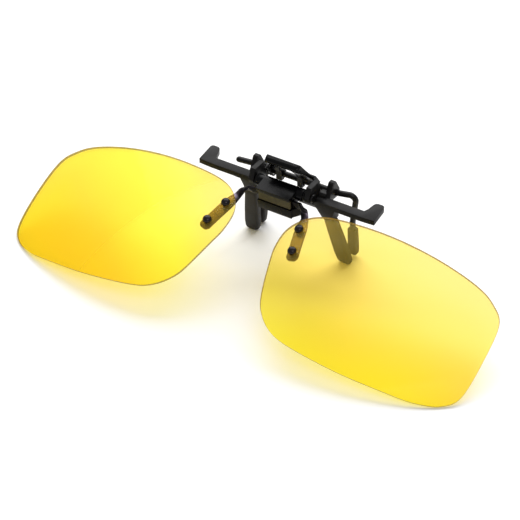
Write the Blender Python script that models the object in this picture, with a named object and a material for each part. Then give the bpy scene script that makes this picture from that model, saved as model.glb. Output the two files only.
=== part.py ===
"""Clip-on flip lenses: two yellow lenses that hang from a spring clip for a pair of glasses.

The object stands as it lies on a table with its lenses flipped up: on the two lower outer
corners of the lenses and on the tips of the two front legs. STAND_TILT and STAND_LIFT bring all
four down onto the table together.

Lengths are in millimetres in this script and become metres as each mesh is made. Across is X,
depth is Y and grows to the rear, height is Z from the table. Depths are measured from the
middle of the lens plane, and DEPTH_CENTRE moves the origin to the middle of the object's box.
"""

import math

import bmesh
import bpy
import numpy as np
from mathutils import Matrix, Quaternion, Vector

MM = 0.001
STAND_TILT = math.radians(-0.862)
STAND_LIFT = 0.432
DEPTH_CENTRE = 8.0
CLEARANCE = 0.08
BOX_CORNER = 0.15
OVERCUT = 2.0
SMOOTH_ANGLE = math.radians(32)

# Lenses, in their own plane: across is outward from the lens centre and up is along the plane
LENS_TILT = math.radians(26.0)
LENS_WRAP = math.radians(10.1)
LENS_CENTRE_X = 37.24
LENS_PLANE_Z = 14.55
LENS_RADIUS = 110.0
LENS_THICKNESS = 0.9
LENS_BEVEL = 0.12
LENS_RINGS = 6
LENS_EDGE_STEPS = 76
LENS_OUTLINE = [
    (29.9, 0.0), (29.0, 10.5), (25.5, 14.7), (20.3, 17.1), (10.8, 18.7), (0.0, 19.35),
    (-10.9, 19.0), (-21.1, 17.7), (-26.3, 15.2), (-29.4, 10.7), (-29.8, 5.2), (-28.7, 0.0),
    (-25.9, -9.4), (-23.4, -13.5), (-19.7, -16.5), (-15.2, -18.1), (-6.9, -19.1),
    (3.4, -19.35), (15.4, -18.4), (20.9, -17.4), (26.1, -15.1), (29.3, -10.6),
]

# Two rivets on each side, through the lens and the strap behind it
UPPER_RIVET = (26.3, 11.5)
LOWER_RIVET = (24.6, 5.05)
RIVETS = (("upper", UPPER_RIVET), ("lower", LOWER_RIVET))
RIVET_SHANK_RADIUS = 0.6
RIVET_HOLE_RADIUS = RIVET_SHANK_RADIUS + CLEARANCE
RIVET_HEAD_RADIUS = 1.2
RIVET_HEAD_RIM = 0.15
RIVET_HEAD_HEIGHT = 0.95
RIVET_TAIL = 0.35
RIVET_CAP_RADIUS = 1.1
RIVET_CAP_RIM = 0.35
RIVET_CAP_HEIGHT = 0.55
RIVET_SOCKET_DEPTH = 0.32

# Bridge: straps behind the lenses, as (up, half-width), then the twisted band to the middle, as
# (across, depth, height, turn towards the crossing's direction, half-width, half-thickness)
STRAP_THICKNESS = 0.5
STRAP_STATIONS = [
    (3.0, 0.75), (3.35, 1.25), (4.0, 1.6), (5.05, 1.6), (7.2, 1.6), (9.4, 1.6), (11.5, 1.6),
    (13.0, 1.5), (14.4, 1.25), (15.6, 1.0),
]
CROSSING = (0.0, -0.13, 0.99)
BRIDGE_BEND = [
    (9.25, 15.1, 21.7, 0.3, 0.95, 0.32),
    (8.6, 15.8, 22.15, 0.5, 0.95, 0.36),
    (7.7, 16.4, 22.3, 0.75, 0.95, 0.36),
    (6.8, 16.7, 22.1, 0.9, 0.95, 0.36),
    (5.8, 16.76, 21.95, 1.0, 0.95, 0.36),
    (0.0, 16.76, 21.95, 1.0, 0.95, 0.36),
]

# Flip hinge: places are (depth, height) and outlines too
FLIP_AXIS = (19.2, 23.7)
FLIP_PIN_RADIUS = 0.7
FLIP_PIN_HEAD_RADIUS = 1.15
FLIP_PIN_HEAD = 0.5
KNUCKLE_RADIUS = 1.65
KNUCKLE_HALF = 6.9
WASHER_RADIUS = 1.45
WASHER_START = 6.96
WASHER_THICKNESS = 0.58
BLOCK_HALF = 5.0
BLOCK_PROFILE = [
    (14.7, 24.4), (18.9, 25.3), (19.9, 22.25), (18.7, 20.8), (18.5, 18.1),
    (16.0, 17.7), (15.55, 20.3), (17.3, 20.5), (17.2, 23.3), (14.9, 23.4),
]
WING_PLAN = [(4.5, 16.3), (4.95, 16.3), (6.2, 18.3), (6.2, 19.0), (4.5, 19.0)]
WING_HEIGHTS = (17.85, 20.2)
RETAINER_HALF = 4.7
RETAINER_PROFILE = [(15.75, 20.62), (16.22, 20.66), (16.1, 23.08), (15.55, 23.04)]

# Front jaw of the clip
EAR_INNER = 7.6
EAR_OUTER = 9.0
EAR_PROFILE = [
    (18.75, 26.8), (22.9, 26.8), (23.8, 22.4), (23.8, 20.0), (22.3, 19.9), (21.5, 21.3),
    (19.6, 21.75), (18.0, 22.7), (17.7, 23.7), (17.9, 24.6),
]
BAR_HALF = 26.2
BAR_FRONT = 20.75
BAR_REAR = 23.0
BAR_TOP = 22.1
BAR_THICKNESS = 1.4
BAR_TILT = math.radians(10.0)
BAR_SHOULDER_PLAN = [
    (8.3, 21.5), (9.7, 21.5), (10.1, 20.85), (15.2, 20.85), (15.2, 22.9), (8.3, 22.9),
]
BAR_SHOULDER_THICKNESS = 1.55
BAR_PLAN = [
    (8.0, 21.4), (9.6, 21.4), (10.0, BAR_FRONT), (22.5, BAR_FRONT), (BAR_HALF, 20.95),
    (26.1, 26.0), (25.9, 26.5), (25.4, 26.75), (24.1, 26.75), (23.5, 26.5), (23.15, 25.9),
    (22.7, 24.1), (22.1, BAR_REAR), (8.0, BAR_REAR),
]
WEB_HALF = 10.0
WEB_PROFILE = [(24.25, 17.7), (24.9, 19.3), (25.55, 19.8), (26.1, 19.2), (25.7, 16.8), (24.8, 16.6)]
# Root of a leg at each height: nearest and furthest across, then front and rear
LEG_ROOT = [
    (21.5, 7.65, 14.7, 21.3, 22.8), (20.6, 7.8, 14.5, 21.4, 23.3),
    (18.0, 9.2, 13.5, 21.9, 25.3), (16.2, 9.9, 13.4, 22.5, 25.6),
]
LEG_ROOT_CORNER = 0.35
CORE_HALF = (1.15, 0.55)
CORE_CORNER = 0.2
CORE_LEVELS = (16.1, 3.4)

# Rubber boots: front ones as (height, half across, half deep, corner), rear ones as the rise
# above the end of the wire, half across and half deep
BOOT_TOP = 16.2
BOOT_HEAD = (11.85, 23.8)
BOOT_LEAN = (2.4, 4.4)
FRONT_BOOT_OUTSIDE = [
    (0.0, 0.9, 0.5, 0.25), (0.35, 1.55, 0.85, 0.4), (1.3, 2.0, 1.1, 0.5), (3.5, 2.15, 1.2, 0.55),
    (9.0, 2.05, 1.2, 0.55), (14.5, 1.8, 1.2, 0.55), (15.9, 1.75, 1.15, 0.5), (16.02, 1.4, 0.8, 0.2),
]
FRONT_BOOT_SOCKET = (15.6, 3.2)
REAR_BOOT_OUTSIDE = [
    (-1.9, 0.6, 0.5), (-1.6, 1.0, 0.85), (-0.9, 1.25, 1.1), (1.0, 1.35, 1.15),
    (4.5, 1.3, 1.15), (8.0, 1.25, 1.12), (8.3, 1.18, 1.06), (8.35, 1.02, 0.98),
]
REAR_BOOT_SOCKET = (8.0, -0.9)
SOCKET_GAP = 0.1

# Clamp hinge, with the wire arms behind it
CLAMP_AXIS = (26.6, 22.2)
WIRE_RADIUS = 0.8
WIRE_BEND = 1.5
LUG_INNER = 10.6
LUG_OUTER = 12.0
LUG_PROFILE = [
    (22.6, 22.2), (23.2, 22.9), (24.5, 25.9), (24.9, 26.15), (25.9, 26.15), (26.2, 25.8),
    (27.9, 22.9), (28.0, 21.6), (27.3, 20.95), (22.6, 21.2),
]
LUG_BRACE_SPAN = (8.95, 11.0)
LUG_BRACE_PROFILE = [
    (22.5, 21.35), (22.5, 23.1), (22.9, 23.5), (24.6, 23.4), (24.9, 23.0), (24.9, 21.4),
]
RIGHT_ARM = [
    (-17.4, 26.35, 21.9), (-12.4, *CLAMP_AXIS), (12.4, *CLAMP_AXIS), (17.5, 27.0, 22.9),
    (15.9, 28.2, 13.6), (14.7, 31.2, 2.6),
]
LEFT_ARM = [(-9.6, 26.9, 21.3), (-13.6, 31.4, 2.1)]
ARM_HUB_START = -10.45
ARM_HUB_PROFILE = [(1.4, 0), (1.5, 0.1), (1.5, 0.8), (1.4, 0.9)]

# Thumb lever: the plate as (depth, height, half-width, half-thickness), its window, what hangs
# below it at the left and right, and the post on each side of the window
LEVER_STATIONS = [
    (19.1, 31.35, 4.3, 0.3), (19.2, 31.2, 4.8, 0.75), (19.5, 30.85, 5.05, 1.05),
    (20.3, 30.05, 5.2, 0.95), (21.4, 29.0, 5.6, 0.65), (22.8, 27.4, 6.2, 0.55),
    (24.4, 25.7, 6.9, 0.55),
]
LEVER_CORNER = 0.3
LEVER_ARM_PROFILE = [
    (23.6, 26.2), (24.6, 26.6), (25.6, 25.3), (27.5, 22.7), (27.0, 21.4), (26.0, 21.6), (25.1, 24.1),
]
LEVER_POST_PROFILE = [
    (23.6, 26.2), (24.6, 26.6), (25.6, 25.3), (27.5, 22.7), (27.3, 21.3), (26.5, 20.6), (25.5, 20.7),
    (25.35, 23.1), (24.9, 24.3),
]
LEVER_SKIRT_PROFILE = [(23.6, 26.4), (24.9, 26.3), (25.3, 24.7), (24.6, 24.0)]
LEVER_SKIRT = (-6.7, -3.9)
LEVER_ARM = (2.3, 6.85)
LEVER_POSTS = {"left": (-5.55, -3.8), "right": (0.8, 2.4)}
LEVER_BARRELS = {"left": (-5.55, -3.8), "right": (0.8, 10.4)}
LEVER_WINDOW = (-2.9, 1.0)
LEVER_WINDOW_PROFILE = [(21.0, 28.25), (25.9, 24.3), (25.9, 22.9), (21.0, 22.9)]
LEVER_BARREL_RADIUS = 1.15

# Return spring: its leg angles are round the clamp's axis, from the rear
SPRING_RADIUS = 1.3
SPRING_WIRE_RADIUS = 0.27
SPRING_TURNS = 2
SPRING_SPAN = (-8.45, -6.6)
SPRING_LEG_ANGLES = (math.radians(105), math.radians(209))
SPRING_LEGS = (2.15, 4.7)


def material(name, colour, roughness, metallic=0.0, alpha=1.0):
    made = bpy.data.materials.new(name)
    made.use_nodes = True
    shader = made.node_tree.nodes["Principled BSDF"]
    shader.inputs["Base Color"].default_value = (*colour, 1.0)
    shader.inputs["Roughness"].default_value = roughness
    shader.inputs["Metallic"].default_value = metallic
    shader.inputs["Alpha"].default_value = alpha
    made.diffuse_color = (*colour, alpha)
    return made


def add_object(name, mesh, finish, pivot=(0.0, 0.0)):
    """The mesh, in millimetres, stood as it rests on the table. Its object's origin is on the
    axis at this depth and height."""
    stand = Matrix.Translation((0, -DEPTH_CENTRE, STAND_LIFT)) @ Matrix.Rotation(STAND_TILT, 4, "X")
    origin = stand @ Vector((0.0, *pivot))
    mesh.transform(Matrix.Scale(MM, 4) @ Matrix.Translation(-origin) @ stand)
    mesh.materials.append(finish)
    mesh.shade_smooth()
    mesh.set_sharp_from_angle(angle=SMOOTH_ANGLE)
    made = bpy.data.objects.new(name, mesh)
    bpy.context.collection.objects.link(made)
    made.location = origin * MM
    return made


def to_mesh(shape, name):
    bmesh.ops.recalc_face_normals(shape, faces=shape.faces)
    mesh = bpy.data.meshes.new(name)
    shape.to_mesh(mesh)
    shape.free()
    return mesh


def bevelled(shape, width):
    edges = [e for e in shape.edges if e.calc_face_angle(0.0) > math.radians(30)]
    bmesh.ops.bevel(shape, geom=edges, offset=width, segments=1, affect="EDGES", clamp_overlap=True)
    return shape


def bridge_rows(shape, lower, upper):
    """Faces between two rings of vertices, either of which may be one pole."""
    steps = max(len(lower), len(upper))
    for k in range(steps):
        corners = [lower[k % len(lower)], lower[(k + 1) % len(lower)],
                   upper[(k + 1) % len(upper)], upper[k % len(upper)]]
        shape.faces.new(list(dict.fromkeys(corners)))


def loft(rings):
    """A closed body through rings of points, with its first and last ring filled. A ring of one
    point is a pole."""
    shape = bmesh.new()
    rows = [[shape.verts.new(point) for point in ring] for ring in rings]
    for lower, upper in zip(rows, rows[1:]):
        bridge_rows(shape, lower, upper)
    for row in (rows[0], rows[-1]):
        if len(row) > 1:
            shape.faces.new(row)
    return shape


def prism_x(profile, start, end):
    """A (depth, height) outline extruded across."""
    return loft([[(x, y, z) for y, z in profile] for x in (start, end)])


def circle_row(radius, height, steps):
    if radius == 0:
        return [(0, 0, height)]
    angles = [2 * math.pi * k / steps for k in range(steps)]
    return [(radius * math.cos(a), radius * math.sin(a), height) for a in angles]


def turned(profile, steps=20):
    """(radius, height) points turned about Z. A radius of 0 makes a pole."""
    return loft([circle_row(radius, height, steps) for radius, height in profile])


def turned_ring(profile, steps=20):
    """A closed (radius, height) outline turned about Z, with the bore left open."""
    shape = bmesh.new()
    rows = [[shape.verts.new(point) for point in circle_row(radius, height, steps)]
            for radius, height in profile]
    for lower, upper in zip(rows, rows[1:] + rows[:1]):
        bridge_rows(shape, lower, upper)
    return shape


def place(shape, matrix):
    bmesh.ops.transform(shape, matrix=matrix, verts=shape.verts)
    return shape


def along_x(start, pivot):
    """Turns a shape made about Z so that it runs along +X from this place on an axis."""
    return Matrix.Translation((start, *pivot)) @ Matrix.Rotation(math.pi / 2, 4, "Y")


def bore_along_x(radius, half_length, pivot):
    """The cutter of a bore on an axis, centred across."""
    return place(turned([(radius, 0), (radius, 2 * half_length)]), along_x(-half_length, pivot))


def swept(path, radius, sides=12, rounded=True):
    """A round wire along a list of points, its cross-section carried without twist."""
    points = [Vector(p) for p in path]
    count = len(points)
    tangents = [(points[min(i + 1, count - 1)] - points[max(i - 1, 0)]).normalized()
                for i in range(count)]
    side = tangents[0].orthogonal().normalized()
    rows = []
    for point, tangent in zip(points, tangents):
        side = (side - tangent * side.dot(tangent)).normalized()
        rows.append((point, tangent, side, radius))
    if rounded:
        dome = [(radius * math.sin(a), radius * math.cos(a))
                for a in (math.radians(k) for k in (30, 60, 80))]
        (first, ahead, first_side, _), (last, onward, last_side, _) = rows[0], rows[-1]
        rows = [(first - ahead * out, ahead, first_side, r) for out, r in reversed(dome)] + rows
        rows += [(last + onward * out, onward, last_side, r) for out, r in dome]
    rings = []
    for point, tangent, side, r in rows:
        other = tangent.cross(side)
        turn = [2 * math.pi * k / sides for k in range(sides)]
        rings.append([point + (side * math.cos(a) + other * math.sin(a)) * r for a in turn])
    return loft(rings)


def bent(corners, bend_radius, steps=6):
    """The route through these corners with each inner corner rounded to the bend radius."""
    corners = [Vector(c) for c in corners]
    route = [corners[0]]
    for before, corner, after in zip(corners, corners[1:], corners[2:]):
        back = (before - corner).normalized()
        ahead = (after - corner).normalized()
        half = back.angle(ahead) / 2
        reach = bend_radius / math.tan(half)
        middle = corner + (back + ahead).normalized() * (bend_radius / math.sin(half))
        start = corner + back * reach - middle
        end = corner + ahead * reach - middle
        axis = start.cross(end)
        for k in range(steps + 1):
            turn = Quaternion(axis, start.angle(end) * k / steps)
            route.append(middle + turn @ start)
    return route + [corners[-1]]


def chamfered(centre, half_across, half_deep, corner):
    """A level rectangle with cut corners."""
    x, y, z = centre
    a, b = half_across, half_deep
    points = [(a, b - corner), (a - corner, b), (corner - a, b), (-a, b - corner),
              (-a, corner - b), (corner - a, -b), (a - corner, -b), (a, corner - b)]
    return [(x + dx, y + dy, z) for dx, dy in points]


def combine(target, operation, shape, name):
    """Joins the shape to the target or cuts it away, through an object that only this uses."""
    tool = add_object(name, to_mesh(shape, name), bpy.data.materials[0])
    tool.hide_render = True
    tool.display_type = "WIRE"
    modifier = target.modifiers.new(name, "BOOLEAN")
    modifier.operation = operation
    modifier.solver = "EXACT"
    modifier.object = tool


def lens_point(side, across, up, forward=0.0):
    """A point of a lens. across is outward from its centre, up lies in the lens plane and
    forward is out of its front face."""
    drop = (across * across + up * up) / (2 * LENS_RADIUS)
    ahead = -math.tan(LENS_WRAP) * across - drop
    normal = Vector((side * (math.tan(LENS_WRAP) + across / LENS_RADIUS), up / LENS_RADIUS, 1.0))
    flat = Vector((side * (LENS_CENTRE_X + across), up, ahead)) + normal.normalized() * forward
    cosine, sine = math.cos(LENS_TILT), math.sin(LENS_TILT)
    return Vector((flat.x, flat.y * cosine - flat.z * sine,
                   flat.y * sine + flat.z * cosine + LENS_PLANE_Z))


def lens_frame(side, across, up):
    """The matrix that stands a turned shape on a lens, its Z out of the front face."""
    here = lens_point(side, across, up)
    normal = (lens_point(side, across, up, 1.0) - here).normalized()
    turn = normal.to_track_quat("Z", "Y").to_matrix().to_4x4()
    return Matrix.Translation(here) @ turn


def rivet_hole(side, rivet):
    """The cutter of a rivet's hole through the lens and the strap."""
    across, up = rivet
    hole = turned([(RIVET_HOLE_RADIUS, -OVERCUT - STRAP_THICKNESS), (RIVET_HOLE_RADIUS, OVERCUT)], 16)
    return place(hole, lens_frame(side, -across, up))


def closed_curve(corners, steps):
    """Evenly spaced points of a smooth closed curve through these corners."""
    count = len(corners)
    dense = []
    for i in range(count):
        a, b, c, d = (np.array(corners[(i + k - 1) % count], float) for k in range(4))
        for t in np.linspace(0, 1, 24, endpoint=False):
            dense.append(0.5 * (2 * b + (c - a) * t + (2 * a - 5 * b + 4 * c - d) * t ** 2
                                + (3 * b - a - 3 * c + d) * t ** 3))
    dense = np.array(dense + dense[:1])
    reach = np.concatenate([[0], np.cumsum(np.linalg.norm(np.diff(dense, axis=0), axis=1))])
    even = np.linspace(0, reach[-1], steps, endpoint=False)
    return np.stack([np.interp(even, reach, dense[:, k]) for k in (0, 1)], axis=1)


def make_lens(side, name, finish):
    """The curved lens: rings from the middle of its front face, round its edge and back."""
    outline = closed_curve(LENS_OUTLINE, LENS_EDGE_STEPS)
    inner = [k / LENS_RINGS for k in range(1, LENS_RINGS)]
    edge = [1 - LENS_BEVEL / LENS_OUTLINE[0][0], 1.0]
    rings = [[lens_point(side, 0, 0)]]
    for level in inner + edge:
        lift = -LENS_BEVEL if level == 1.0 else 0.0
        rings.append([lens_point(side, u * level, v * level, lift) for u, v in outline])
    for level in reversed(inner + edge):
        lift = LENS_BEVEL if level == 1.0 else 0.0
        rings.append([lens_point(side, u * level, v * level, lift - LENS_THICKNESS) for u, v in outline])
    rings.append([lens_point(side, 0, 0, -LENS_THICKNESS)])
    made = add_object(name, to_mesh(loft(rings), name), finish, FLIP_AXIS)
    for label, rivet in RIVETS:
        combine(made, "DIFFERENCE", rivet_hole(side, rivet), f"{name}_{label}_hole")


def make_rivets(side, word, head_finish, cap_finish):
    """A domed rivet through the lens and the strap, and the cap that its end is set into."""
    behind = LENS_THICKNESS + CLEARANCE + STRAP_THICKNESS
    seat = CLEARANCE / 2
    rim = seat + RIVET_HEAD_RIM
    dome = [(RIVET_HEAD_RADIUS * math.cos(a), rim + RIVET_HEAD_HEIGHT * math.sin(a))
            for a in (math.radians(k) for k in (0, 22, 44, 66))]
    pole = (0, rim + RIVET_HEAD_HEIGHT)
    rivet = [(RIVET_SHANK_RADIUS, -behind - RIVET_TAIL), (RIVET_SHANK_RADIUS, seat),
             (RIVET_HEAD_RADIUS, seat)] + dome + [pole]
    top = -behind - CLEARANCE
    socket = RIVET_SHANK_RADIUS + CLEARANCE / 2
    cap = [(0, top - RIVET_CAP_HEIGHT), (RIVET_CAP_RADIUS * 0.7, top - RIVET_CAP_HEIGHT),
           (RIVET_CAP_RADIUS, top - RIVET_CAP_RIM), (RIVET_CAP_RADIUS, top), (socket, top),
           (socket, top - RIVET_SOCKET_DEPTH), (0, top - RIVET_SOCKET_DEPTH)]
    for label, (across, up) in RIVETS:
        frame = lens_frame(side, -across, up)
        for name, profile, finish in (("rivet", rivet, head_finish), ("rivet_cap", cap, cap_finish)):
            shape = place(turned(profile, 18), frame)
            add_object(f"{name}_{word}_{label}", to_mesh(shape, name), finish, FLIP_AXIS)


def bridge_sections():
    """Centre, half-width vector and half-thickness vector along the bridge, left to right."""
    depth = -(LENS_THICKNESS + CLEARANCE + STRAP_THICKNESS / 2)
    slope = (UPPER_RIVET[0] - LOWER_RIVET[0]) / (UPPER_RIVET[1] - LOWER_RIVET[1])
    found = []
    for up, width in STRAP_STATIONS:
        across = -LOWER_RIVET[0] - slope * (up - LOWER_RIVET[1])
        here = lens_point(-1, across, up, depth)
        ahead = lens_point(-1, across - slope * 0.5, up + 0.5, depth) - here
        normal = (lens_point(-1, across, up, depth + 1) - here).normalized()
        wide = ahead.normalized().cross(normal).normalized()
        found.append((here, wide * width, -normal * STRAP_THICKNESS / 2))
    strap_wide = wide
    for across, depth, height, turn, width, thick in BRIDGE_BEND:
        here = Vector((-across, depth, height))
        ahead = (here - found[-1][0]).normalized()
        wide = strap_wide.lerp(Vector(CROSSING), turn)
        wide = (wide - ahead * wide.dot(ahead)).normalized()
        found.append((here, wide * width, ahead.cross(wide) * thick))
    mirror = Vector((-1, 1, 1))
    return found + [(c * mirror, w * mirror, n * mirror) for c, w, n in reversed(found[:-1])]


def make_bridge(finish):
    """One strip of metal: a flat strap behind each lens, twisted into a band that crosses the
    flip block."""
    corners = ((1, 0.45), (0.88, 1), (-0.88, 1), (-1, 0.45), (-1, -0.45), (-0.88, -1), (0.88, -1),
               (1, -0.45))
    rings = [[centre + wide * a + thick * b for a, b in corners]
             for centre, wide, thick in bridge_sections()]
    made = add_object("bridge", to_mesh(loft(rings), "bridge"), finish, FLIP_AXIS)
    for side, word in ((-1, "left"), (1, "right")):
        for label, rivet in RIVETS:
            combine(made, "DIFFERENCE", rivet_hole(side, rivet), f"bridge_{word}_{label}_hole")


def make_flip_block(finish, plate_finish):
    """The moulded block that the bridge crosses, with the hinge barrel at its rear, and the plate
    that closes its channel over the bridge."""
    body = bevelled(prism_x(BLOCK_PROFILE, -BLOCK_HALF, BLOCK_HALF), BOX_CORNER)
    made = add_object("flip_block", to_mesh(body, "flip_block"), finish, FLIP_AXIS)
    for side, word in ((-1, "left"), (1, "right")):
        wing = loft([[(side * x, y, z) for x, y in WING_PLAN] for z in WING_HEIGHTS])
        combine(made, "UNION", wing, f"flip_block_wing_{word}")
    rounded = KNUCKLE_RADIUS - BOX_CORNER
    length = 2 * KNUCKLE_HALF
    barrel = turned([(rounded, 0), (KNUCKLE_RADIUS, BOX_CORNER), (KNUCKLE_RADIUS, length - BOX_CORNER),
                     (rounded, length)], 28)
    combine(made, "UNION", place(barrel, along_x(-KNUCKLE_HALF, FLIP_AXIS)), "flip_block_barrel")
    bore = bore_along_x(FLIP_PIN_RADIUS + CLEARANCE, KNUCKLE_HALF + OVERCUT, FLIP_AXIS)
    combine(made, "DIFFERENCE", bore, "flip_block_bore")
    plate = bevelled(prism_x(RETAINER_PROFILE, -RETAINER_HALF, RETAINER_HALF), BOX_CORNER * 0.6)
    add_object("bridge_retainer", to_mesh(plate, "bridge_retainer"), plate_finish, FLIP_AXIS)


def make_flip_pin(finish, washer_finish):
    """The pin through the ears, its head at the right, and the washer beside each ear."""
    reach = EAR_OUTER + CLEARANCE + FLIP_PIN_HEAD
    neck = reach + EAR_OUTER + CLEARANCE
    profile = [(FLIP_PIN_RADIUS - BOX_CORNER, 0), (FLIP_PIN_RADIUS, BOX_CORNER), (FLIP_PIN_RADIUS, neck),
               (FLIP_PIN_HEAD_RADIUS, neck), (FLIP_PIN_HEAD_RADIUS, 2 * reach - BOX_CORNER),
               (FLIP_PIN_HEAD_RADIUS - BOX_CORNER, 2 * reach)]
    pin = place(turned(profile), along_x(-reach, FLIP_AXIS))
    add_object("flip_pin", to_mesh(pin, "flip_pin"), finish, FLIP_AXIS)
    bore = FLIP_PIN_RADIUS + CLEARANCE
    end = WASHER_START + WASHER_THICKNESS
    ring = [(bore, WASHER_START), (WASHER_RADIUS, WASHER_START + 0.08), (WASHER_RADIUS, WASHER_START + 0.2),
            (WASHER_RADIUS - 0.4, end), (bore, end)]
    for side, word in ((-1, "left"), (1, "right")):
        turn = Matrix.Translation((0, *FLIP_AXIS)) @ Matrix.Rotation(side * math.pi / 2, 4, "Y")
        washer = place(turned_ring(ring), turn)
        add_object(f"hinge_washer_{word}", to_mesh(washer, "hinge_washer"), washer_finish, FLIP_AXIS)


def clip_bar(side):
    """Half of the rest bar, with the hook at its end that points to the rear."""
    rings = []
    for drop in (0, BAR_THICKNESS):
        rings.append([(side * x, y, BAR_TOP + (y - BAR_FRONT) * math.tan(BAR_TILT) - drop)
                      for x, y in BAR_PLAN])
    return bevelled(loft(rings), BOX_CORNER)


def clip_shoulder(side):
    """The thicker length of the rest bar above the leg, a small step below the rest of it."""
    rings = []
    for drop in (BAR_THICKNESS / 2, BAR_SHOULDER_THICKNESS):
        rings.append([(side * x, y, BAR_TOP + (y - BAR_FRONT) * math.tan(BAR_TILT) - drop)
                      for x, y in BAR_SHOULDER_PLAN])
    return loft(rings)


def clip_ear(side):
    return bevelled(prism_x(EAR_PROFILE, side * EAR_INNER, side * EAR_OUTER), BOX_CORNER)


def clip_lug(side):
    return bevelled(prism_x(LUG_PROFILE, side * LUG_INNER, side * LUG_OUTER), BOX_CORNER)


def clip_brace(side):
    """The low block that joins an ear to the lug beside it."""
    start, end = LUG_BRACE_SPAN
    return prism_x(LUG_BRACE_PROFILE, side * start, side * end)


def boot_centre(height):
    """The middle of a front leg at this height: it leans outward and to the rear going down."""
    down = (BOOT_TOP - height) / BOOT_TOP
    return BOOT_HEAD[0] + BOOT_LEAN[0] * down, BOOT_HEAD[1] + BOOT_LEAN[1] * down


def boot_ring(side, height, half_across, half_deep, corner):
    x, y = boot_centre(height)
    return chamfered((side * x, y, height), half_across, half_deep, corner)


def clip_leg(side):
    """The root under the bar and the narrow core inside the rubber boot."""
    rings = []
    for z, inner, outer, front, rear in LEG_ROOT:
        centre = (side * (inner + outer) / 2, (front + rear) / 2, z)
        rings.append(chamfered(centre, (outer - inner) / 2, (rear - front) / 2, LEG_ROOT_CORNER))
    rings += [boot_ring(side, z, *CORE_HALF, CORE_CORNER) for z in CORE_LEVELS]
    return loft(rings)


def make_clip_frame(finish):
    """The front jaw in one moulding: rest bar with hooks, ears, lugs, legs and the web between."""
    web = bevelled(prism_x(WEB_PROFILE, -WEB_HALF, WEB_HALF), BOX_CORNER)
    made = add_object("clip_frame", to_mesh(web, "clip_frame"), finish)
    shapes = (("leg", clip_leg), ("bar", clip_bar), ("shoulder", clip_shoulder), ("ear", clip_ear),
              ("lug", clip_lug), ("brace", clip_brace))
    for side, word in ((-1, "left"), (1, "right")):
        for label, shape in shapes:
            combine(made, "UNION", shape(side), f"clip_{label}_{word}")
    pin_hole = bore_along_x(FLIP_PIN_RADIUS + CLEARANCE * 0.75, EAR_OUTER + OVERCUT, FLIP_AXIS)
    combine(made, "DIFFERENCE", pin_hole, "clip_pin_hole")
    wire_hole = bore_along_x(WIRE_RADIUS + CLEARANCE, LUG_OUTER + OVERCUT, CLAMP_AXIS)
    combine(made, "DIFFERENCE", wire_hole, "clip_wire_hole")


def make_front_boots(finish):
    for side, word in ((-1, "left"), (1, "right")):
        rings = [boot_ring(side, *station) for station in FRONT_BOOT_OUTSIDE]
        half = [h + SOCKET_GAP for h in CORE_HALF]
        rings += [boot_ring(side, z, *half, CORE_CORNER) for z in FRONT_BOOT_SOCKET]
        add_object(f"front_boot_{word}", to_mesh(loft(rings), "front_boot"), finish)


def make_rear_arms(finish):
    """The right arm's wire runs on across as the clamp's shaft. The left arm is fixed to it."""
    wire = swept(bent(RIGHT_ARM, WIRE_BEND), WIRE_RADIUS)
    add_object("rear_arm_right", to_mesh(wire, "rear_arm_right"), finish, CLAMP_AXIS)
    wire = swept(LEFT_ARM, WIRE_RADIUS)
    made = add_object("rear_arm_left", to_mesh(wire, "rear_arm_left"), finish, CLAMP_AXIS)
    hub = place(turned(ARM_HUB_PROFILE), along_x(ARM_HUB_START, CLAMP_AXIS))
    combine(made, "UNION", hub, "rear_arm_left_hub")
    bore = bore_along_x(WIRE_RADIUS + CLEARANCE / 2, LUG_OUTER, CLAMP_AXIS)
    combine(made, "DIFFERENCE", bore, "rear_arm_left_bore")


def make_rear_boots(finish):
    for word, arm in (("left", LEFT_ARM), ("right", RIGHT_ARM)):
        foot, knee = Vector(arm[-1]), Vector(arm[-2])
        lean = (knee - foot) / (knee - foot).z
        half = WIRE_RADIUS + SOCKET_GAP
        stations = REAR_BOOT_OUTSIDE + [(rise, half, half) for rise in REAR_BOOT_SOCKET]
        rings = [chamfered(foot + lean * rise, across, deep, deep * 0.42)
                 for rise, across, deep in stations]
        add_object(f"rear_boot_{word}", to_mesh(loft(rings), "rear_boot"), finish, CLAMP_AXIS)


def make_thumb_lever(finish):
    """The plate that the thumb presses, with an arm and two posts down to barrels round the shaft."""
    rings = []
    last = len(LEVER_STATIONS) - 1
    for k, (y, z, half, thick) in enumerate(LEVER_STATIONS):
        before = Vector((0, *LEVER_STATIONS[max(k - 1, 0)][:2]))
        after = Vector((0, *LEVER_STATIONS[min(k + 1, last)][:2]))
        run = (after - before).normalized()
        turn = Vector((1, 0, 0)).cross(run)
        corner = min(LEVER_CORNER, thick * 0.6)
        rings.append([Vector((dx, y, z)) + turn * dy for dx, dy, _ in
                      chamfered((0, 0, 0), half, thick, corner)])
    made = add_object("thumb_lever", to_mesh(loft(rings), "thumb_lever"), finish, CLAMP_AXIS)
    combine(made, "DIFFERENCE", prism_x(LEVER_WINDOW_PROFILE, *LEVER_WINDOW), "lever_window")
    combine(made, "UNION", prism_x(LEVER_ARM_PROFILE, *LEVER_ARM), "lever_arm")
    combine(made, "UNION", prism_x(LEVER_SKIRT_PROFILE, *LEVER_SKIRT), "lever_skirt")
    for word, (start, end) in LEVER_POSTS.items():
        combine(made, "UNION", prism_x(LEVER_POST_PROFILE, start, end), f"lever_post_{word}")
    for word, (start, end) in LEVER_BARRELS.items():
        barrel = turned([(LEVER_BARREL_RADIUS, 0), (LEVER_BARREL_RADIUS, end - start)], 24)
        combine(made, "UNION", place(barrel, along_x(start, CLAMP_AXIS)), f"lever_barrel_{word}")
    bore = bore_along_x(WIRE_RADIUS + CLEARANCE / 2, LUG_OUTER, CLAMP_AXIS)
    combine(made, "DIFFERENCE", bore, "lever_bore")


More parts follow.
